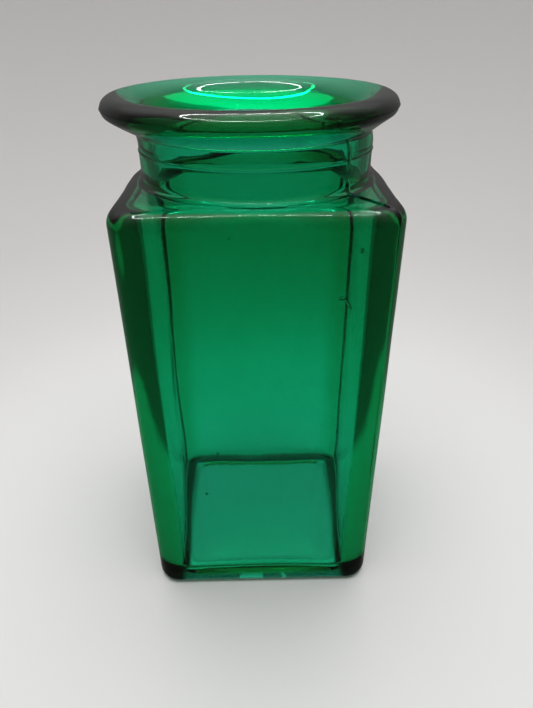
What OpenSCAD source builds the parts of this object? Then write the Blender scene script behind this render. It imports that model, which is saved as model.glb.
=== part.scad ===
// Square glass apothecary jar with a round neck and a wide rolled rim.
// The whole jar is one piece of blown glass, so it is one closed solid.
// Millimetres, +Z up. The origin is the middle of the base, on the table.
// The front is -Y. The two-part mould met at the +X -Y and -X +Y corners.

/* [Body] */
// Width of the square body across its flats
body_w = 95; // [70:1:160]
// Height of the shoulder's top face above the table
body_h = 171; // [60:1:300]
// Outside rounding of the four upright corners
corner_r = 9; // [7:0.5:18]
// Rounding of the edge between the sides and the shoulder
shoulder_edge_r = 5; // [1:0.5:7]
// Rounding of the edge between the sides and the base
heel_r = 4; // [1:0.5:7]
// Thickness of the four side walls
wall_t = 4.5; // [2.5:0.5:6.5]
// Thickness of the shoulder
shoulder_t = 4.5; // [2.5:0.5:9]

/* [Base] */
// Thickness of the floor under the cavity
floor_t = 6; // [4:0.5:12]
// How far the pushed-up middle of the base stands off the table
push_up_h = 2.5; // [0.5:0.1:3]
// Width of the flat band that the jar stands on, from the heel rounding inwards
foot_w = 7.5; // [4:0.5:12]

/* [Cavity] */
// Rounding of the cavity's upright corners, which leaves the corners thick
cavity_corner_r = 14; // [7:0.5:20]
// Rounding between the cavity's walls and its floor
cavity_heel_r = 6; // [1:0.5:7]
// Rounding between the cavity's walls and the underside of the shoulder
cavity_top_r = 4; // [1:0.5:7]

/* [Neck] */
// How far the body's faces stand outside the neck
shoulder_ledge = 6; // [4:0.5:14]
// Height of the neck from the shoulder to the underside of the rim
neck_h = 17; // [8:0.5:40]
// Thickness of the neck's wall
neck_t = 4.8; // [3:0.1:7]
// Rounding where the neck meets the shoulder
neck_root_r = 2.5; // [1:0.5:3.5]

/* [Rim] */
// How far the rim stands out from the neck
rim_overhang = 9.5; // [8:0.5:14]
// Height of the rim from its underside to its crest
rim_h = 12; // [10.5:0.5:18]
// Radius of the rim's rounded outer edge
rim_edge_r = 3.7; // [2:0.1:4]
// Depth of the rim's widest line below its crest
rim_edge_drop = 4.8; // [4.2:0.1:6]
// Radius of the rounded crest
crest_r = 4; // [2:0.5:4]
// How far the crest lies outside the neck's wall
crest_out = 3.5; // [2:0.5:4]
// Depth of the funnel from the crest to the straight bore
funnel_h = 10; // [8:0.5:10.5]

/* [Mould seams] */
// Height of the neck-ring seam above the shoulder
ring_seam_z = 11; // [5:0.5:14]
// Width of a seam line
seam_w = 0.8; // [0.4:0.1:1.5]
// How far a seam line stands out from the glass
seam_proud = 0.3; // [0.1:0.1:0.6]

/* [Hidden] */
$fn = 96;
// Overlap that carries a cut or a joined piece past the face it starts from
reach = 1;

neck_r = body_w / 2 - shoulder_ledge;
bore_r = neck_r - neck_t;
rim_z = body_h + neck_h;
top_z = rim_z + rim_h;
cavity_w = body_w - 2 * wall_t;
cavity_h = body_h - shoulder_t - floor_t;
push_up_r = body_w / 2 - heel_r - foot_w;
push_up_ball_r = (push_up_r * push_up_r + push_up_h * push_up_h) / (2 * push_up_h);

// The rim's section is drawn from two rounds: its outer edge and its crest
edge_at = [neck_r + rim_overhang - rim_edge_r, top_z - rim_edge_drop];
crest_at = [neck_r + crest_out, top_z - crest_r];

// Point on a round of radius r at angle a from its centre
function on_round(centre, r, a) = centre + r * [cos(a), sin(a)];

// Angle at which a line from a point touches a round, on the side given by 1 or -1
function touch_angle(point, centre, r, side) =
    let (d = point - centre)
    atan2(d[1], d[0]) + side * acos(r / norm(d));

// Angle of the line that touches two rounds on the side away from the axis
function shared_angle(a, ra, b, rb) =
    let (d = b - a)
    atan2(d[1], d[0]) - acos((ra - rb) / norm(d));

underside_a = touch_angle([neck_r, rim_z], edge_at, rim_edge_r, 1);
funnel_a = touch_angle([bore_r, top_z - funnel_h], crest_at, crest_r, -1);
brow_a = shared_angle(edge_at, rim_edge_r, crest_at, crest_r);

// Sharp corner left between a round of radius r and the two lines that it touches
module spandrel(r) {
    difference() {
        translate([-reach, -reach]) square(r + reach);
        translate([r, r]) circle(r);
    }
}

// Upright section from a corner's axis outwards, with its two outer edges rounded
module side_section(w, h, low_r, high_r) {
    difference() {
        square([w, h]);
        translate([w, 0]) mirror([1, 0]) spandrel(low_r);
        translate([w, h]) rotate(180) spandrel(high_r);
    }
}

// Square block with rounded upright corners and rounded top and bottom edges
module rounded_block(w, h, corner, low_r, high_r) {
    straight = w - 2 * corner;
    translate([-straight / 2, -straight / 2, 0]) cube([straight, straight, h]);
    for (side = [0:3]) rotate([0, 0, 90 * side]) {
        translate([straight / 2, straight / 2, 0]) rotate_extrude(angle = 90)
            side_section(corner, h, low_r, high_r);
        translate([straight / 2, straight / 2, 0]) rotate([90, 0, 0])
            linear_extrude(straight) side_section(corner, h, low_r, high_r);
    }
}

module body() {
    rounded_block(body_w, body_h, corner_r, heel_r, shoulder_edge_r);
}

module cavity() {
    translate([0, 0, floor_t])
        rounded_block(cavity_w, cavity_h, cavity_corner_r, cavity_heel_r, cavity_top_r);
}

module neck_and_rim() {
    rotate_extrude() {
        polygon([
            [0, body_h - reach],
            [neck_r, body_h - reach],
            [neck_r, rim_z],
            on_round(edge_at, rim_edge_r, underside_a),
            on_round(edge_at, rim_edge_r, brow_a),
            on_round(crest_at, crest_r, brow_a),
            [crest_at[0], top_z],
            [0, top_z]
        ]);
        translate(edge_at) circle(rim_edge_r);
        translate(crest_at) circle(crest_r);
    }
}

module neck_root() {
    rotate_extrude() translate([neck_r, body_h]) spandrel(neck_root_r);
}

module mouth() {
    rotate_extrude() difference() {
        polygon([
            [0, body_h - shoulder_t - reach],
            [bore_r, body_h - shoulder_t - reach],
            [bore_r, top_z - funnel_h],
            on_round(crest_at, crest_r, funnel_a),
            [crest_at[0], top_z - crest_r],
            [crest_at[0], top_z + reach],
            [0, top_z + reach]
        ]);
        translate(crest_at) circle(crest_r);
    }
}

module push_up() {
    translate([0, 0, push_up_h - push_up_ball_r]) sphere(push_up_ball_r);
}

module seams() {
    corner_out = (body_w / 2 - corner_r) * sqrt(2) + corner_r;
    translate([0, 0, body_h + ring_seam_z]) difference() {
        cylinder(h = seam_w, r = neck_r + seam_proud, center = true);
        cylinder(h = seam_w + reach, r = neck_r - reach, center = true);
    }
    for (turn = [-45, 135]) rotate([0, 0, turn]) {
        translate([neck_r - reach, -seam_w / 2, body_h])
            cube([reach + seam_proud, seam_w, neck_h]);
        translate([corner_out - reach, -seam_w / 2, heel_r])
            cube([reach + seam_proud, seam_w, body_h - heel_r - shoulder_edge_r]);
    }
}

module jar() {
    color("seagreen") difference() {
        union() {
            body();
            neck_root();
            neck_and_rim();
            seams();
        }
        cavity();
        mouth();
        push_up();
    }
}

jar();
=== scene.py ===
"""A square apothecary jar of green glass, built as one closed wall of real glass.

The jar is made from a straight sleeve of faces. Each ring of the sleeve is laid on
one station of the wall, from the middle of the base, up the outside, over the rolled
rim, down the inside and back to the middle of the floor. Sizes are in metres.
"""

import logging
import math
from dataclasses import dataclass
from enum import Enum

import bmesh
import bpy
from mathutils import Matrix, Vector, noise


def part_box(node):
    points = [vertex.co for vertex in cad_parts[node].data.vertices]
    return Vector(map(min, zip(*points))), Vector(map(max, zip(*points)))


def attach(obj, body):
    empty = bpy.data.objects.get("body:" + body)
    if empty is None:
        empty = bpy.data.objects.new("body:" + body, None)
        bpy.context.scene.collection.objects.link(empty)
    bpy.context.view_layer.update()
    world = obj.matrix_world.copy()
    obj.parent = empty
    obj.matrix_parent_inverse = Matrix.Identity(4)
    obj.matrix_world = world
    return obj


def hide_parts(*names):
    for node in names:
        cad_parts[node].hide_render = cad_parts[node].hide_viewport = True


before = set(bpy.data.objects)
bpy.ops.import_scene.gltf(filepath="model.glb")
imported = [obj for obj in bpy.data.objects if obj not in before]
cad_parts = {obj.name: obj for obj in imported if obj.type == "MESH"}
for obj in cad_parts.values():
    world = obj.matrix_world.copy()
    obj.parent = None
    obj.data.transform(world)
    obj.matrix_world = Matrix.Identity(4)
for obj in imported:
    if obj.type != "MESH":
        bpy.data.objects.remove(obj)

LOG = logging.getLogger("jar")
MM = 0.001
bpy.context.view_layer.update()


class Zone(Enum):
    """The stretches of the glass wall, in the order in which the sleeve follows them."""

    PUSH_UP = "push_up"
    FOOT = "foot"
    HEEL = "heel"
    WALL = "wall"
    SHOULDER_EDGE = "shoulder_edge"
    SHOULDER = "shoulder"
    NECK_ROOT = "neck_root"
    NECK_LOW = "neck_low"
    RING_SEAM = "ring_seam"
    NECK_HIGH = "neck_high"
    RIM = "rim"
    BORE = "bore"
    BORE_FOOT = "bore_foot"
    CEILING = "ceiling"
    CEILING_EDGE = "ceiling_edge"
    CAVITY_WALL = "cavity_wall"
    CAVITY_HEEL = "cavity_heel"
    FLOOR = "floor"


INSIDE_ZONES = (Zone.BORE, Zone.BORE_FOOT, Zone.CEILING, Zone.CEILING_EDGE, Zone.CAVITY_WALL,
                Zone.CAVITY_HEEL, Zone.FLOOR)

# How many rings of the sleeve lie on each stretch
RINGS = {Zone.PUSH_UP: 14, Zone.FOOT: 4, Zone.HEEL: 10, Zone.WALL: 46, Zone.SHOULDER_EDGE: 12,
         Zone.SHOULDER: 8, Zone.NECK_ROOT: 8, Zone.NECK_LOW: 8, Zone.RING_SEAM: 6,
         Zone.NECK_HIGH: 6, Zone.RIM: 64, Zone.BORE: 12, Zone.BORE_FOOT: 6, Zone.CEILING: 8,
         Zone.CEILING_EDGE: 8, Zone.CAVITY_WALL: 46, Zone.CAVITY_HEEL: 10, Zone.FLOOR: 14}

# Where each stretch of a shoulder starts and ends along its shelf's path
SHELF_SPANS = {Zone.SHOULDER_EDGE: (3.0, 2.0), Zone.SHOULDER: (2.0, 1.0),
               Zone.NECK_ROOT: (1.0, 0.0), Zone.BORE_FOOT: (0.0, 1.0), Zone.CEILING: (1.0, 2.0),
               Zone.CEILING_EDGE: (2.0, 3.0)}


def smooth_step(low: float, high: float, value: float) -> float:
    """Rises smoothly from 0 at low to 1 at high."""
    share = min(1.0, max(0.0, (value - low) / (high - low)))
    return share * share * (3.0 - 2.0 * share)


def hump(value: float, middle: float, width: float) -> float:
    """Rises to 1 at the middle and dies away over the width on both sides."""
    return math.exp(-((value - middle) / width) ** 2)


def lift(spot: Vector, z: float) -> Vector:
    """Gives a point its height."""
    return Vector((spot.x, spot.y, z))


def round_points(centre: tuple[float, float], radii: tuple[float, float],
                 angles: tuple[float, float], steps: int) -> list[tuple[float, float]]:
    """Points along a round stretch of the rim's section.

    Args:
        centre: The round's centre, as distance from the jar's axis and height.
        radii: How far the round reaches sideways and upwards from its centre.
        angles: The first and last points' angles, in degrees.
        steps: How many steps lie between the two.

    Returns:
        The points, first and last included.
    """
    start, end = angles
    turns = [math.radians(start + (end - start) * k / steps) for k in range(steps + 1)]
    return [(centre[0] + radii[0] * math.cos(a), centre[1] + radii[1] * math.sin(a)) for a in turns]


def link_mesh(bm: bmesh.types.BMesh, name: str) -> bpy.types.Object:
    """Turns finished faces into a smooth-shaded object at the origin.

    Args:
        bm: The faces, which are freed.
        name: What the object and its mesh are called.

    Returns:
        The object, linked to the scene.
    """
    for face in bm.faces:
        face.smooth = True
    mesh = bpy.data.meshes.new(name)
    bm.to_mesh(mesh)
    bm.free()
    piece = bpy.data.objects.new(name, mesh)
    bpy.context.collection.objects.link(piece)
    return piece


@dataclass(frozen=True)
class Station:
    """One ring of the sleeve: which stretch of the wall it lies on, and where in it."""

    zone: Zone
    share: float

    @property
    def inside(self) -> bool:
        """Says whether the ring lies on the inside of the wall."""
        return self.zone in INSIDE_ZONES


@dataclass(frozen=True)
class Square:
    """Outline of the body at one level: a square with rounded corners."""

    half: float
    corner: float
    arc_share: float = 0.36

    def point(self, quarter: int, swing: float) -> Vector:
        """Finds a point on the outline.

        Args:
            quarter: Which corner, counted anticlockwise from the +X +Y one.
            swing: Place from -1 to 1 across the quarter, with 0 on the corner's diagonal.

        Returns:
            The point, at height 0.
        """
        straight = self.half - self.corner
        if abs(swing) <= self.arc_share:
            angle = math.radians(45.0 + 45.0 * swing / self.arc_share)
            spot = Vector((straight + self.corner * math.cos(angle),
                           straight + self.corner * math.sin(angle), 0.0))
        else:
            along = straight * (1.0 - (abs(swing) - self.arc_share) / (1.0 - self.arc_share))
            spot = Vector((self.half, along, 0.0)) if swing < 0 else Vector((along, self.half, 0.0))
        return Matrix.Rotation(math.radians(90.0 * quarter), 3, "Z") @ spot


@dataclass(frozen=True)
class Shelf:
    """Path between a round neck wall and a square body wall, by way of the shoulder."""

    level: float
    root_r: float
    edge_r: float
    slope: float
    most_filled: float = 0.97

    def place(self, reach: float, way: float) -> tuple[float, float]:
        """Finds a point on the path.

        Args:
            reach: Distance from the neck wall to the body wall here.
            way: Place along the path, from 0 on the neck wall to 3 on the body wall.

        Returns:
            The distance out from the neck wall, and the height.
        """
        fit = min(1.0, self.most_filled * reach / (self.root_r + self.edge_r))
        root, edge = self.root_r * fit, self.edge_r * fit
        drop = self.slope * max(0.0, reach - self.root_r - self.edge_r)
        if way <= 1.0:
            angle = math.radians(90.0 * way)
            return root * (1.0 - math.cos(angle)), self.level + root * (1.0 - math.sin(angle))
        if way <= 2.0:
            share = way - 1.0
            return root + (reach - root - edge) * share, self.level - drop * share
        angle = math.radians(90.0 * (way - 2.0))
        return (reach - edge * (1.0 - math.sin(angle)),
                self.level - drop - edge * (1.0 - math.cos(angle)))

    def lay(self, station: Station, neck: Vector, wall: Vector, wall_low: float) -> Vector:
        """Lays a station on a body wall or on the shoulder that joins it to the neck.

        Args:
            station: The ring.
            neck: Where the neck wall stands, at height 0.
            wall: Where the body wall stands, at height 0.
            wall_low: The height of the body wall's foot.

        Returns:
            The point on the wall or the shoulder.
        """
        reach = (wall - neck).length
        end = self.place(reach, 3.0)[1]
        if station.zone is Zone.WALL:
            return lift(wall, wall_low + (end - wall_low) * station.share)
        if station.zone is Zone.CAVITY_WALL:
            return lift(wall, end + (wall_low - end) * station.share)
        start, stop = SHELF_SPANS[station.zone]
        out, z = self.place(reach, start + (stop - start) * station.share)
        return lift(neck + (wall - neck).normalized() * out, z)


@dataclass
class Outside:
    """The outer surface below the rim: base, square body, shoulder and neck."""

    half: float = 47.5 * MM
    corner_r: float = 10.0 * MM
    heel_r: float = 4.0 * MM
    shoulder_z: float = 171.6 * MM
    shoulder_slope: float = 0.07
    shoulder_edge_r: float = 5.0 * MM
    neck_root_r: float = 2.5 * MM
    neck_r: float = 41.5 * MM
    ring_z: float = 182.0 * MM
    ring_half: float = 0.7 * MM
    rim_z: float = 188.2 * MM
    push_up_half: float = 36.5 * MM
    push_up_h: float = 2.5 * MM
    push_up_step: float = 1.3 * MM
    step_starts: float = 0.93
    foot_blend: float = 0.5

    def __post_init__(self) -> None:
        """Works out the outlines and the shoulder's path."""
        self.outline = Square(self.half, self.corner_r)
        self.heel_outline = Square(self.half - self.heel_r, self.corner_r - self.heel_r)
        self.shelf = Shelf(self.shoulder_z, self.neck_root_r, self.shoulder_edge_r,
                           self.shoulder_slope)

    def place(self, station: Station, quarter: int, swing: float) -> Vector:
        """Finds where a column of the sleeve crosses an outside station below the rim.

        Args:
            station: The ring.
            quarter: Which quarter of the jar the column is in.
            swing: The column's place across that quarter.

        Returns:
            The point on the glass, before any unevenness.
        """
        body = self.outline.point(quarter, swing)
        neck = body.normalized() * self.neck_r
        if station.zone in (Zone.PUSH_UP, Zone.FOOT):
            return self.underside(body, station)
        if station.zone is Zone.HEEL:
            return self.heel(body, self.heel_outline.point(quarter, swing), station.share)
        if station.zone in (Zone.NECK_LOW, Zone.RING_SEAM, Zone.NECK_HIGH):
            return self.neck(body, neck, station)
        return self.shelf.lay(station, neck, body, self.heel_r)

    def underside(self, body: Vector, station: Station) -> Vector:
        """Lays a station on the push-up or on the flat foot round it.

        Args:
            body: The body's outline here.
            station: The ring.

        Returns:
            The point on the base.
        """
        edge = self.push_up_half / self.half
        if station.zone is Zone.FOOT:
            end = (self.half - self.heel_r) / self.half
            return lift(body * (edge + (end - edge) * station.share), 0.0)
        step = self.push_up_step * (1.0 - smooth_step(self.step_starts, 1.0, station.share))
        dome = (self.push_up_h - self.push_up_step) * (1.0 - station.share * station.share)
        return lift(body * (edge * station.share), step + dome)

    def heel(self, body: Vector, inner: Vector, share: float) -> Vector:
        """Lays a station on the rounding between the foot and the sides.

        Args:
            body: The body's outline here.
            inner: The outline where the rounding leaves the table.
            share: Place along the rounding, from 0 on the table to 1 on the side.

        Returns:
            The point on the heel.
        """
        angle = math.radians(90.0 * share)
        start = body * ((self.half - self.heel_r) / self.half)
        foot = start.lerp(inner, smooth_step(0.0, self.foot_blend, share))
        return lift(foot.lerp(body, math.sin(angle)), self.heel_r * (1.0 - math.cos(angle)))

    def neck(self, body: Vector, neck: Vector, station: Station) -> Vector:
        """Lays a station on the round neck, closer together at the ring seam.

        Args:
            body: The body's outline here.
            neck: Where the neck wall stands, at height 0.
            station: The ring.

        Returns:
            The point on the neck.
        """
        base = self.shelf.place((body - neck).length, 0.0)[1]
        spans = {Zone.NECK_LOW: (base, self.ring_z - self.ring_half),
                 Zone.RING_SEAM: (self.ring_z - self.ring_half, self.ring_z + self.ring_half),
                 Zone.NECK_HIGH: (self.ring_z + self.ring_half, self.rim_z)}
        low, high = spans[station.zone]
        return lift(neck, low + (high - low) * station.share)


@dataclass
class Inside:
    """The inner surface: bore, underside of the shoulder, cavity walls and floor."""

    outside: Outside
    bore_top: float
    bore_r: float = 36.7 * MM
    bore_foot_r: float = 3.0 * MM
    shoulder_t: float = 4.5 * MM
    wall_t: float = 4.5 * MM
    heavy_t: float = 4.8 * MM
    heavy_from: float = 62.0 * MM
    heavy_to: float = 152.0 * MM
    corner_r: float = 13.0 * MM
    heel_r: float = 6.0 * MM
    top_r: float = 4.0 * MM
    floor_t: float = 4.0 * MM
    floor_rise: float = 1.2 * MM

    def __post_init__(self) -> None:
        """Works out the outlines and the path of the shoulder's underside."""
        self.half = self.outside.half - self.wall_t
        self.heavy_share = 1.0 - self.heavy_t / self.half
        self.outline = Square(self.half, self.corner_r)
        self.floor_outline = Square(self.half - self.heel_r, self.corner_r - self.heel_r)
        self.shelf = Shelf(self.outside.shoulder_z - self.shoulder_t, self.bore_foot_r, self.top_r,
                           self.outside.shoulder_slope)

    def place(self, station: Station, quarter: int, swing: float) -> Vector:
        """Finds where a column of the sleeve crosses an inside station.

        Args:
            station: The ring.
            quarter: Which quarter of the jar the column is in.
            swing: The column's place across that quarter.

        Returns:
            The point on the glass, before any unevenness.
        """
        low_wall = self.outline.point(quarter, swing)
        high_wall = Vector((low_wall.x, low_wall.y * self.heavy_share, 0.0))
        bore = self.outside.outline.point(quarter, swing).normalized() * self.bore_r
        if station.zone is Zone.BORE:
            foot = self.shelf.place((high_wall - bore).length, 0.0)[1]
            return lift(bore, self.bore_top + (foot - self.bore_top) * station.share)
        flat = self.floor_outline.point(quarter, swing)
        if station.zone is Zone.CAVITY_HEEL:
            angle = math.radians(90.0 * station.share)
            return lift(low_wall.lerp(flat, 1.0 - math.cos(angle)),
                        self.floor_t + self.heel_r * (1.0 - math.sin(angle)))
        if station.zone is Zone.FLOOR:
            rise = self.floor_rise * (1.0 - (1.0 - station.share) ** 2)
            return lift(flat * (1.0 - station.share), self.floor_t + rise)
        spot = self.shelf.lay(station, bore, high_wall, self.floor_t + self.heel_r)
        if station.zone is Zone.CAVITY_WALL:
            heavy = smooth_step(self.heavy_from, self.heavy_to, spot.z)
            spot = lift(low_wall.lerp(high_wall, heavy), spot.z)
        return spot


@dataclass
class Rim:
    """The rolled rim, drawn as one section and carried round the jar's axis."""

    outer_r: float
    top_z: float
    edge_r: float = 3.2 * MM
    edge_drop: float = 3.8 * MM
    crest_at: float = 46.0 * MM
    funnel_h: float = 9.0 * MM
    edge_steps: int = 12
    brow_steps: int = 16
    funnel_steps: int = 18

    @property
    def bore_top(self) -> float:
        """Says at what height the funnel ends and the bore starts."""
        return self.top_z - self.funnel_h

    @property
    def widest_z(self) -> float:
        """Says at what height the rim is widest."""
        return self.top_z - self.edge_drop

    def draw(self, neck_r: float, rim_z: float, bore_r: float) -> None:
        """Draws the section, from the neck's outside over the crest to the bore.

        Args:
            neck_r: The neck's outer radius.
            rim_z: The height where the rim leaves the neck.
            bore_r: The bore's radius.
        """
        edge = (self.outer_r - self.edge_r, self.widest_z)
        under = self.touch_angle((neck_r, rim_z), edge)
        brow = (self.crest_at, self.widest_z)
        funnel = (self.crest_at, self.bore_top)
        self.section = [(neck_r, rim_z)]
        self.section += round_points(edge, (self.edge_r, self.edge_r), (under - 360.0, 0.0),
                                     self.edge_steps)
        self.section += round_points(brow, (self.outer_r - self.crest_at, self.edge_drop),
                                     (0.0, 90.0), self.brow_steps)[1:]
        self.section += round_points(funnel, (self.crest_at - bore_r, self.funnel_h),
                                     (90.0, 180.0), self.funnel_steps)[1:]

    def touch_angle(self, point: tuple[float, float], centre: tuple[float, float]) -> float:
        """Finds where a line from a point below touches the round of the outer edge.

        Args:
            point: The point, as distance from the jar's axis and height.
            centre: The centre of the round, in the same terms.

        Returns:
            The angle round the centre, in degrees.
        """
        dx, dz = point[0] - centre[0], point[1] - centre[1]
        turn = math.degrees(math.acos(self.edge_r / math.hypot(dx, dz)))
        return math.degrees(math.atan2(dz, dx)) % 360.0 + turn

    def place(self, ray: Vector, share: float) -> Vector:
        """Finds the point at a share of the section's length.

        Args:
            ray: The direction out from the jar's axis.
            share: The share, from 0 at the neck to 1 at the bore.

        Returns:
            The point on the rim.
        """
        pairs = list(zip(self.section, self.section[1:]))
        left = share * sum(math.dist(start, end) for start, end in pairs)
        for start, end in pairs:
            length = math.dist(start, end)
            if left <= length:
                part = left / length
                return lift(ray * (start[0] + (end[0] - start[0]) * part),
                            start[1] + (end[1] - start[1]) * part)
            left -= length
        return lift(ray * self.section[-1][0], self.section[-1][1])


@dataclass(frozen=True)
class Wave:
    """One fineness of the waves in the glass, with its height on each side of the wall."""

    fineness: float
    outer_h: float
    inner_h: float
    shift: float
    start: tuple[float, float, float] = (3.1, 7.7, 1.3)

    def height(self, spot: Vector, inner: int) -> float:
        """Finds how far the wave stands out of the glass.

        Args:
            spot: The place on the glass.
            inner: 1 on the inside of the wall and 0 on the outside.

        Returns:
            The wave's height there.
        """
        offset = Vector(self.start) * (1 + inner) * self.shift
        return noise.noise(spot * self.fineness + offset) * (self.inner_h if inner else self.outer_h)


@dataclass
class Seams:
    """The fine lines that the mould left on the outside."""

    outside: Outside
    rim: Rim
    line_half: float = 0.45 * MM
    ring_line_half: float = 0.35 * MM
    ring_h: float = 0.28 * MM
    neck_h: float = 0.35 * MM
    wall_h: float = 0.12 * MM
    shoulder_h: float = 0.4 * MM
    shoulder_starts: tuple[float, float] = (-6.0 * MM, -2.0 * MM)
    neck_from: float = 4.0 * MM
    neck_fade: float = 4.0 * MM
    rim_line_h: float = 0.25 * MM
    rim_line_outer: float = 0.5 * MM
    rim_line_full: float = 0.2 * MM

    def height(self, spot: Vector) -> float:
        """Finds how far the upright seams and the ring seam stand proud.

        Args:
            spot: The place on the outside.

        Returns:
            The seams' height there.
        """
        across = (spot.x + spot.y) / math.sqrt(2.0)
        on_line = hump(across, 0.0, self.line_half)
        ring_z = self.outside.ring_z
        neck_low = self.outside.shoulder_z + self.neck_from
        if neck_low < spot.z < self.outside.rim_z:
            ring = self.ring_h * hump(spot.z, ring_z, self.ring_line_half)
            return ring + self.neck_h * on_line * smooth_step(ring_z - self.neck_fade, ring_z, spot.z)
        if self.outside.heel_r < spot.z <= neck_low:
            shoulder = smooth_step(*self.shoulder_starts, spot.z - self.outside.shoulder_z)
            return (self.wall_h + self.shoulder_h * shoulder) * on_line
        return 0.0

    def rim_line(self, spot: Vector) -> float:
        """Finds how far the parting line round the rim's widest edge stands proud.

        Args:
            spot: The place on the outside.

        Returns:
            The line's height there.
        """
        outer = smooth_step(self.rim.outer_r - self.rim_line_outer,
                            self.rim.outer_r - self.rim_line_full, math.hypot(spot.x, spot.y))
        return self.rim_line_h * hump(spot.z, self.rim.widest_z, self.ring_line_half) * outer


@dataclass
class Unevenness:
    """What blowing and pressing left in the glass: waves, a thick foot and a leaning rim."""

    outside: Outside
    inside: Inside
    rim: Rim
    long_wave: Wave = Wave(28.0, 0.10 * MM, 0.30 * MM, 1.0)
    ripple: Wave = Wave(95.0, 0.02 * MM, 0.05 * MM, 2.0)
    neck_wave: Wave = Wave(70.0, 0.22 * MM, 0.22 * MM, 3.0)
    neck_calm: float = 0.35
    body_ends: tuple[float, float] = (-8.0 * MM, 2.0 * MM)
    neck_starts: tuple[float, float] = (-14.0 * MM, -4.0 * MM)
    neck_ends: tuple[float, float] = (-4.0 * MM, 2.0 * MM)
    steady_h: float = 8.0 * MM
    bulge: float = 4.0 * MM
    bulge_half: float = 36.0 * MM
    bulge_h: float = 3.0 * MM
    bulge_from: float = 0.60
    bulge_to: float = 0.86
    bulge_fineness: float = 260.0
    bulge_ripple: float = 0.35
    rim_shift: float = -1.76 * MM
    lean_side: float = -0.0043
    lean_front: float = 0.02
    lean_from: float = 2.0 * MM
    lean_full: float = 5.0 * MM

    def __post_init__(self) -> None:
        """Adds the mould's seams."""
        self.seams = Seams(self.outside, self.rim)

    def drift(self, spot: Vector, normal: Vector, inner: int) -> Vector:
        """Works out how far the real glass lies from its ideal place.

        Args:
            spot: The ideal place.
            normal: The direction out of the glass there.
            inner: 1 on the inside of the wall and 0 on the outside.

        Returns:
            The move from the ideal place to the real one.
        """
        move = normal * self.waviness(spot, inner)
        if inner:
            move += self.front_foot(spot)
        else:
            move *= smooth_step(0.0, self.steady_h, spot.z)
            move += normal * (self.seams.height(spot) + self.seams.rim_line(spot))
        return move + self.rim_lean(spot)

    def waviness(self, spot: Vector, inner: int) -> float:
        """Adds up the waves, calmer on the neck and rougher round the shoulder.

        Args:
            spot: The place on the glass.
            inner: 1 on the inside of the wall and 0 on the outside.

        Returns:
            The waves' height there.
        """
        shoulder_z, rim_z = self.outside.shoulder_z, self.outside.rim_z
        body = 1.0 - smooth_step(*self.body_ends, spot.z - shoulder_z)
        neck = smooth_step(*self.neck_starts, spot.z - shoulder_z)
        neck *= 1.0 - smooth_step(*self.neck_ends, spot.z - rim_z)
        wave = self.long_wave.height(spot, inner) * (self.neck_calm + (1.0 - self.neck_calm) * body)
        wave += self.ripple.height(spot, inner)
        return wave + self.neck_wave.height(spot, inner) * neck

    def front_foot(self, spot: Vector) -> Vector:
        """Works out how the thick foot of the front wall stands into the cavity.

        Args:
            spot: The place on the inside.

        Returns:
            The move towards the back.
        """
        half = self.inside.half
        across = max(0.0, 1.0 - (spot.x / self.bulge_half) ** 2)
        low = hump(spot.z, self.inside.floor_t, self.bulge_h)
        front = smooth_step(self.bulge_from * half, self.bulge_to * half, -spot.y)
        ripple = 1.0 + self.bulge_ripple * noise.noise(spot * self.bulge_fineness)
        return Vector((0.0, self.bulge * across * low * front * ripple, 0.0))

    def rim_lean(self, spot: Vector) -> Vector:
        """Works out how the rim sits off the axis and leans, from the neck up.

        Args:
            spot: The place on the glass.

        Returns:
            The move.
        """
        rise = smooth_step(self.outside.ring_z + self.lean_from,
                           self.outside.rim_z + self.lean_full, spot.z)
        lean = spot.y * self.lean_front - spot.x * self.lean_side
        return Vector((self.rim_shift, 0.0, lean)) * rise


@dataclass(frozen=True)
class Seed:
    """A small bubble or stretched fold shut inside the glass of the front wall."""

    across: float
    height: float
    length: float
    width: float
    turn: float = 0.0

    def build(self, bm: bmesh.types.BMesh, depth: float) -> None:
        """Adds the bubble's surface, facing into its hollow.

        Args:
            bm: The jar's faces.
            depth: How far the bubble's middle lies from the jar's axis.
        """
        verts = bmesh.ops.create_icosphere(bm, subdivisions=3, radius=1.0)["verts"]
        bmesh.ops.scale(bm, vec=(self.width, self.width, self.length), verts=verts)
        bmesh.ops.rotate(bm, cent=(0, 0, 0), matrix=Matrix.Rotation(self.turn, 3, "Y"), verts=verts)
        bmesh.ops.translate(bm, vec=(self.across, -depth, self.height), verts=verts)
        faces = {face for vert in verts for face in vert.link_faces}
        bmesh.ops.reverse_faces(bm, faces=list(faces))


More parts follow.
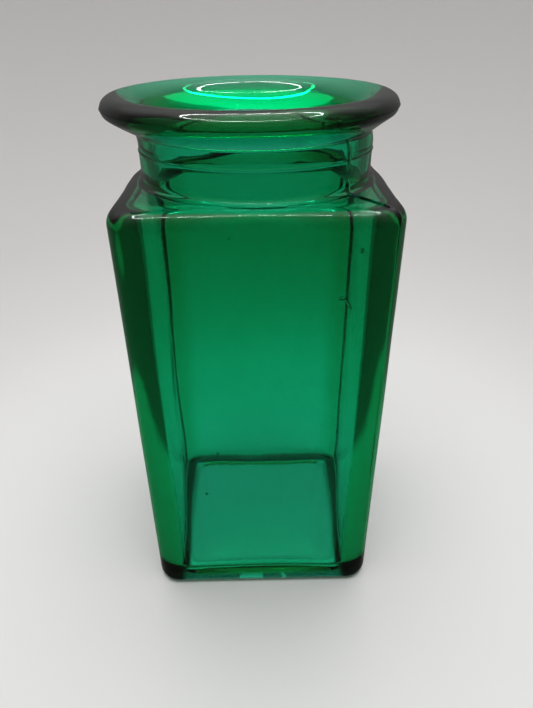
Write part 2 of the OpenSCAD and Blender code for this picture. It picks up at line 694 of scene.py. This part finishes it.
@dataclass(frozen=True)
class GreenGlass:
    """Emerald glass that takes its colour from its own thickness."""

    absorbed: tuple[float, float, float] = (0.0, 0.846, 0.70)
    density: float = 490.0
    ior: float = 1.52
    roughness: float = 0.015
    wave_fineness: float = 160.0
    wave_detail: float = 3.0
    wave_strength: float = 0.25
    wave_depth: float = 0.05 * MM

    def material(self) -> bpy.types.Material:
        """Makes the glass material, with fine waves on its surface.

        Returns:
            The material.
        """
        mat = bpy.data.materials.new("green_glass")
        mat.use_nodes = True
        nodes, links = mat.node_tree.nodes, mat.node_tree.links
        shader = nodes["Principled BSDF"]
        shader.inputs["Base Color"].default_value = (1.0, 1.0, 1.0, 1.0)
        shader.inputs["Roughness"].default_value = self.roughness
        shader.inputs["IOR"].default_value = self.ior
        shader.inputs["Transmission Weight"].default_value = 1.0
        place = nodes.new("ShaderNodeTexCoord")
        wave = nodes.new("ShaderNodeTexNoise")
        wave.inputs["Scale"].default_value = self.wave_fineness
        wave.inputs["Detail"].default_value = self.wave_detail
        bump = nodes.new("ShaderNodeBump")
        bump.inputs["Strength"].default_value = self.wave_strength
        bump.inputs["Distance"].default_value = self.wave_depth
        links.new(place.outputs["Object"], wave.inputs["Vector"])
        links.new(wave.outputs["Fac"], bump.inputs["Height"])
        links.new(bump.outputs["Normal"], shader.inputs["Normal"])
        volume = nodes.new("ShaderNodeVolumeAbsorption")
        volume.inputs["Color"].default_value = (*self.absorbed, 1.0)
        volume.inputs["Density"].default_value = self.density
        links.new(volume.outputs["Volume"], nodes["Material Output"].inputs["Volume"])
        return mat


@dataclass
class Jar:
    """The jar's glass wall, with its unevenness and the bubbles shut inside it."""

    columns: int = 224
    same_place: float = 0.004 * MM
    seed_depth: float = 2.0 * MM
    seeds: tuple[Seed, ...] = (Seed(32.7 * MM, 158.5 * MM, 0.9 * MM, 0.5 * MM),
                               Seed(29.3 * MM, 143.8 * MM, 0.7 * MM, 0.5 * MM),
                               Seed(27.8 * MM, 142.4 * MM, 1.4 * MM, 0.7 * MM, 1.1),
                               Seed(29.4 * MM, 140.2 * MM, 2.4 * MM, 0.6 * MM, -0.6),
                               Seed(-16.7 * MM, 76.8 * MM, 0.5 * MM, 0.5 * MM),
                               Seed(-22.3 * MM, 55.5 * MM, 0.7 * MM, 0.6 * MM),
                               Seed(-8.7 * MM, 162.9 * MM, 0.5 * MM, 0.3 * MM))

    def __post_init__(self) -> None:
        """Takes the rim's width and height from the frame, and lists the rings."""
        low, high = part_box("jar")
        self.outside = Outside()
        self.rim = Rim((high[0] - low[0]) / 2, high[2])
        self.inside = Inside(self.outside, self.rim.bore_top)
        self.rim.draw(self.outside.neck_r, self.outside.rim_z, self.inside.bore_r)
        self.unevenness = Unevenness(self.outside, self.inside, self.rim)
        self.stations = [Station(zone, k / count) for zone, count in RINGS.items()
                         for k in range(count)]
        self.stations.append(Station(Zone.FLOOR, 1.0))

    def place(self, station: Station, quarter: int, swing: float) -> Vector:
        """Finds where a column of the sleeve crosses a station of the wall.

        Args:
            station: The ring.
            quarter: Which quarter of the jar the column is in.
            swing: The column's place across that quarter.

        Returns:
            The point on the glass, before any unevenness.
        """
        if station.inside:
            return self.inside.place(station, quarter, swing)
        if station.zone is Zone.RIM:
            return self.rim.place(self.outside.outline.point(quarter, swing).normalized(), station.share)
        return self.outside.place(station, quarter, swing)

    def sleeve(self) -> bmesh.types.BMesh:
        """Spins a straight upright line of one point per ring into a sleeve of faces.

        Returns:
            The sleeve, with one unit of height between its rings.
        """
        bm = bmesh.new()
        low = bm.verts.new((1.0, 0.0, 0.0))
        high = bm.verts.new((1.0, 0.0, float(len(self.stations) - 1)))
        line = bm.edges.new((low, high))
        bmesh.ops.subdivide_edges(bm, edges=[line], cuts=len(self.stations) - 2)
        bmesh.ops.spin(bm, geom=bm.verts[:] + bm.edges[:], cent=(0, 0, 0), axis=(0, 0, 1),
                       angle=math.tau, steps=self.columns, use_merge=True)
        return bm

    def form(self, bm: bmesh.types.BMesh) -> None:
        """Lays the sleeve's rings on the wall and closes its two ends.

        Args:
            bm: The sleeve.
        """
        inner_layer = bm.verts.layers.int.new("inner")
        per_quarter = self.columns // 4
        for vert in bm.verts:
            turn = (math.atan2(vert.co.y, vert.co.x) / math.tau) % 1.0
            column = round(turn * self.columns) % self.columns
            quarter, step = divmod(column, per_quarter)
            station = self.stations[round(vert.co.z)]
            vert[inner_layer] = int(station.inside)
            vert.co = self.place(station, quarter, 2.0 * step / per_quarter - 1.0)
        bmesh.ops.remove_doubles(bm, verts=bm.verts[:], dist=self.same_place)
        bmesh.ops.recalc_face_normals(bm, faces=bm.faces[:])

    def unsettle(self, bm: bmesh.types.BMesh) -> None:
        """Moves the ideal wall to where the real glass lies.

        Args:
            bm: The closed wall.
        """
        inner_layer = bm.verts.layers.int["inner"]
        bm.normal_update()
        moves = [self.unevenness.drift(v.co, v.normal, v[inner_layer]) for v in bm.verts]
        for vert, move in zip(bm.verts, moves):
            vert.co += move
        bmesh.ops.recalc_face_normals(bm, faces=bm.faces[:])

    def build(self) -> bpy.types.Object:
        """Makes the jar's glass as one closed object.

        Returns:
            The object, without its finish.
        """
        bm = self.sleeve()
        self.form(bm)
        self.unsettle(bm)
        for seed in self.seeds:
            seed.build(bm, self.outside.half - self.seed_depth)
        return link_mesh(bm, "jar_glass")

    @staticmethod
    def dress(piece: bpy.types.Object) -> None:
        """Gives the jar its green glass."""
        piece.data.materials.append(GreenGlass().material())


@dataclass(frozen=True)
class PaleCard:
    """Plain pale card with painted light: painted lighter round the jar, painted grey shade at its
    sides, and a painted glow under the jar.
    """

    # Painted light: the card is painted lighter near the jar and darker further out, a painted falloff
    # of the light rather than the card's own tone.
    near_lit_tone: tuple[float, float, float] = (0.82, 0.815, 0.81)
    far_shaded_tone: tuple[float, float, float] = (0.77, 0.755, 0.745)
    roughness: float = 0.6
    shade_fade_from: float = 0.16
    shade_fade_to: float = 0.30
    # Painted shade: dark grey painted onto the card out at the sides and towards the front.
    side_painted_shade: tuple[float, float, float] = (0.22, 0.215, 0.21)
    side_shade_from: float = 0.150
    side_shade_soft: float = 0.05
    side_shade_spread: float = 0.42
    # Painted light: the card glows under the jar, though it is no lamp.
    painted_glow: float = 0.31
    glow_half: tuple[float, float] = (0.034, 0.038)
    glow_forward: float = 0.004
    glow_edge: float = 0.12

    def material(self) -> bpy.types.Material:
        """Makes the card's material.

        Returns:
            The material.
        """
        mat = bpy.data.materials.new("pale_card")
        mat.use_nodes = True
        nodes, links = mat.node_tree.nodes, mat.node_tree.links
        shader = nodes["Principled BSDF"]
        shader.inputs["Roughness"].default_value = self.roughness
        # White emission for the painted glow under the jar.
        shader.inputs["Emission Color"].default_value = (1.0, 1.0, 1.0, 1.0)
        place = nodes.new("ShaderNodeTexCoord")
        length = nodes.new("ShaderNodeVectorMath")
        length.operation = "LENGTH"
        # Painted shade: the card's colour darkens with distance from the jar.
        fade = self.soft_edge(mat, self.shade_fade_from, self.shade_fade_to)
        mix = nodes.new("ShaderNodeMix")
        mix.data_type = "RGBA"
        mix.inputs["A"].default_value = (*self.near_lit_tone, 1.0)
        mix.inputs["B"].default_value = (*self.far_shaded_tone, 1.0)
        tone = nodes.new("ShaderNodeMix")
        tone.data_type = "RGBA"
        tone.inputs["B"].default_value = (*self.side_painted_shade, 1.0)
        links.new(place.outputs["Object"], length.inputs[0])
        links.new(length.outputs["Value"], fade.inputs["Value"])
        links.new(fade.outputs["Result"], mix.inputs["Factor"])
        links.new(mix.outputs["Result"], tone.inputs["A"])
        # Mixes the painted side shade over the card's colour.
        links.new(self.side_shade_share(mat, place), tone.inputs["Factor"])
        links.new(tone.outputs["Result"], shader.inputs["Base Color"])
        self.add_painted_glow(mat, place)
        return mat

    @staticmethod
    def soft_edge(mat: bpy.types.Material, start: float, end: float) -> bpy.types.Node:
        """Adds a node that goes smoothly from 0 to 1.

        Args:
            mat: The card's material.
            start: The value where it leaves 0.
            end: The value where it reaches 1.

        Returns:
            The node.
        """
        edge = mat.node_tree.nodes.new("ShaderNodeMapRange")
        edge.interpolation_type = "SMOOTHSTEP"
        edge.inputs["From Min"].default_value = start
        edge.inputs["From Max"].default_value = end
        return edge

    def side_shade_share(self, mat: bpy.types.Material, place: bpy.types.Node) -> bpy.types.NodeSocket:
        """Finds how far out to the sides a spot lies, where the card is painted grey as shade.

        Args:
            mat: The card's material.
            place: The node that gives the spot's coordinates.

        Returns:
            The socket that is 0 in the middle and 1 at the sides.
        """
        nodes, links = mat.node_tree.nodes, mat.node_tree.links
        split = nodes.new("ShaderNodeSeparateXYZ")
        across = nodes.new("ShaderNodeMath")
        across.operation = "ABSOLUTE"
        width = nodes.new("ShaderNodeMath")
        width.operation = "MULTIPLY_ADD"
        width.inputs[1].default_value = -self.side_shade_spread
        edge = self.soft_edge(mat, self.side_shade_from, self.side_shade_from + self.side_shade_soft)
        links.new(place.outputs["Object"], split.inputs["Vector"])
        links.new(split.outputs["X"], across.inputs[0])
        links.new(split.outputs["Y"], width.inputs[0])
        links.new(across.outputs["Value"], width.inputs[2])
        links.new(width.outputs["Value"], edge.inputs["Value"])
        return edge.outputs["Result"]

    def add_painted_glow(self, mat: bpy.types.Material, place: bpy.types.Node) -> None:
        """Paints a glow into the square of card that the jar stands on: the card itself emits this
        painted light, and it is not a lamp.

        Args:
            mat: The card's material.
            place: The node that gives the spot's coordinates.
        """
        nodes, links = mat.node_tree.nodes, mat.node_tree.links
        centre = nodes.new("ShaderNodeMapping")
        centre.inputs["Location"].default_value = (0.0, self.glow_forward / self.glow_half[1], 0.0)
        centre.inputs["Scale"].default_value = (1.0 / self.glow_half[0], 1.0 / self.glow_half[1], 1.0)
        sides = nodes.new("ShaderNodeVectorMath")
        sides.operation = "ABSOLUTE"
        split = nodes.new("ShaderNodeSeparateXYZ")
        widest = nodes.new("ShaderNodeMath")
        widest.operation = "MAXIMUM"
        edge = self.soft_edge(mat, 1.0, 1.0 + self.glow_edge)
        edge.inputs["To Min"].default_value = self.painted_glow
        edge.inputs["To Max"].default_value = 0.0
        links.new(place.outputs["Object"], centre.inputs["Vector"])
        links.new(centre.outputs["Vector"], sides.inputs[0])
        links.new(sides.outputs["Vector"], split.inputs["Vector"])
        links.new(split.outputs["X"], widest.inputs[0])
        links.new(split.outputs["Y"], widest.inputs[1])
        links.new(widest.outputs["Value"], edge.inputs["Value"])
        links.new(edge.outputs["Result"], nodes["Principled BSDF"].inputs["Emission Strength"])


@dataclass
class Studio:
    """A round sweep of card, a ring lamp over it and the light of the room."""

    floor_r: float = 0.45
    sweep_r: float = 0.50
    wall_top: float = 1.00
    bend_steps: int = 16
    round_steps: int = 96
    same_place: float = 0.01 * MM
    ring_r: float = 0.110
    ring_y: float = -0.040
    ring_z: float = 0.367
    ring_w: float = 0.005
    ring_parts: int = 20
    ring_watts: float = 0.42
    top_size: float = 1.4
    top_z: float = 1.5
    top_watts: float = 9.6
    behind_at: float = 0.6
    behind_gain: float = 2.6
    sky: tuple[tuple[float, float], ...] = ((0.0, 0.05), (0.50, 0.05), (0.70, 0.10), (0.90, 0.30),
                                            (0.97, 0.9))
    sky_tint: tuple[float, float, float] = (1.0, 0.99, 0.98)
    bounces: int = 20
    gloss_bounces: int = 12

    def sweep(self) -> bpy.types.Object:
        """Spins a floor that curves up into a wall, all round the jar.

        Returns:
            The floor and wall, as one object.
        """
        bm = bmesh.new()
        centre = bm.verts.new((0.0, 0.0, 0.0))
        foot = bm.verts.new((self.floor_r, 0.0, 0.0))
        bm.edges.new((centre, foot))
        bmesh.ops.spin(bm, geom=[foot], cent=(self.floor_r, 0.0, self.sweep_r), axis=(0, 1, 0),
                       angle=-math.pi / 2, steps=self.bend_steps)
        bm.verts.ensure_lookup_table()
        last = bm.verts[-1]
        top = bm.verts.new((last.co.x, 0.0, self.wall_top))
        bm.edges.new((last, top))
        bmesh.ops.spin(bm, geom=bm.verts[:] + bm.edges[:], cent=(0, 0, 0), axis=(0, 0, 1),
                       angle=math.tau, steps=self.round_steps, use_merge=True)
        bmesh.ops.remove_doubles(bm, verts=bm.verts[:], dist=self.same_place)
        bmesh.ops.recalc_face_normals(bm, faces=bm.faces[:])
        bmesh.ops.reverse_faces(bm, faces=bm.faces[:])
        piece = link_mesh(bm, "sweep")
        piece.visible_glossy = False
        piece.data.materials.append(PaleCard().material())
        return piece

    def ring_lamp(self) -> None:
        """Hangs a ring of short lamp strips over the jar, facing down."""
        length = math.tau * self.ring_r / self.ring_parts
        for k in range(self.ring_parts):
            turn = math.tau * k / self.ring_parts
            data = bpy.data.lights.new(f"ring_lamp_{k}", "AREA")
            data.shape = "RECTANGLE"
            data.size = self.ring_w
            data.size_y = length
            data.energy = self.ring_watts / self.ring_parts
            lamp = bpy.data.objects.new(f"ring_lamp_{k}", data)
            lamp.location = (self.ring_r * math.cos(turn),
                             self.ring_y + self.ring_r * math.sin(turn), self.ring_z)
            lamp.rotation_euler = (0.0, 0.0, turn)
            bpy.context.collection.objects.link(lamp)

    def top_lamp(self) -> None:
        """Hangs a wide soft lamp over the sweep, which shows in no reflection."""
        data = bpy.data.lights.new("top_lamp", "AREA")
        data.shape = "SQUARE"
        data.size = self.top_size
        data.energy = self.top_watts
        lamp = bpy.data.objects.new("top_lamp", data)
        lamp.location = (0.0, 0.0, self.top_z)
        lamp.visible_glossy = False
        bpy.context.collection.objects.link(lamp)

    def room(self) -> None:
        """Gives the room the dim light that shows in reflections, brightest overhead."""
        world = bpy.data.worlds.new("room")
        bpy.context.scene.world = world
        world.use_nodes = True
        nodes, links = world.node_tree.nodes, world.node_tree.links
        back = nodes["Background"]
        place = nodes.new("ShaderNodeTexCoord")
        split = nodes.new("ShaderNodeSeparateXYZ")
        height = nodes.new("ShaderNodeMapRange")
        height.inputs["From Min"].default_value = -1.0
        height.inputs["From Max"].default_value = 1.0
        ramp = nodes.new("ShaderNodeValToRGB")
        stops = ramp.color_ramp.elements
        while len(stops) < len(self.sky):
            stops.new(self.sky[len(stops)][0])
        for stop, (at, level) in zip(stops, self.sky):
            stop.position = at
            stop.color = (*(level * part for part in self.sky_tint), 1.0)
        behind = nodes.new("ShaderNodeMapRange")
        behind.interpolation_type = "SMOOTHSTEP"
        behind.inputs["From Min"].default_value = 0.0
        behind.inputs["From Max"].default_value = self.behind_at
        behind.inputs["To Min"].default_value = 1.0
        behind.inputs["To Max"].default_value = self.behind_gain
        links.new(place.outputs["Generated"], split.inputs["Vector"])
        links.new(split.outputs["Z"], height.inputs["Value"])
        links.new(height.outputs["Result"], ramp.inputs["Fac"])
        links.new(ramp.outputs["Color"], back.inputs["Color"])
        links.new(split.outputs["Y"], behind.inputs["Value"])
        links.new(behind.outputs["Result"], back.inputs["Strength"])

    def light_paths(self) -> None:
        """Sets the plain view of colour, and as many light bounces as deep glass needs."""
        scene = bpy.context.scene
        scene.view_settings.view_transform = "Standard"
        scene.cycles.max_bounces = self.bounces
        scene.cycles.transmission_bounces = self.bounces
        scene.cycles.glossy_bounces = self.gloss_bounces


@dataclass
class Viewpoint:
    """Where the camera stands and how it is turned."""

    distance: float = 0.2086
    height: float = 0.21975
    pitch: float = 0.5445
    pan: float = 0.0154
    roll: float = -0.0081
    lens: float = 27.88
    sensor_w: float = 36.0
    nearest: float = 0.01

    def build(self) -> None:
        """Makes the camera and gives it to the scene."""
        data = bpy.data.cameras.new("camera")
        data.lens = self.lens
        data.sensor_width = self.sensor_w
        data.clip_start = self.nearest
        camera = bpy.data.objects.new("camera", data)
        bpy.context.collection.objects.link(camera)
        ahead = Vector((math.sin(self.pan) * math.cos(self.pitch),
                        math.cos(self.pan) * math.cos(self.pitch), -math.sin(self.pitch)))
        turn = ahead.to_track_quat("-Z", "Y").to_matrix() @ Matrix.Rotation(self.roll, 3, "Z")
        camera.matrix_world = Matrix.Translation((0.0, -self.distance, self.height)) @ turn.to_4x4()
        bpy.context.scene.camera = camera


def main() -> None:
    """Builds the studio and the jar, and says what was made."""
    logging.basicConfig(level=logging.INFO, format="%(name)s: %(message)s")
    studio = Studio()
    sweep = studio.sweep()
    LOG.info("sweep: %d faces", len(sweep.data.polygons))
    studio.ring_lamp()
    studio.top_lamp()
    studio.room()
    studio.light_paths()
    Viewpoint().build()
    jar = Jar()
    glass = jar.build()
    jar.dress(glass)
    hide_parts("jar")
    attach(glass, "root")
    LOG.info("jar_glass: %d faces", len(glass.data.polygons))


if __name__ == "__main__":
    main()
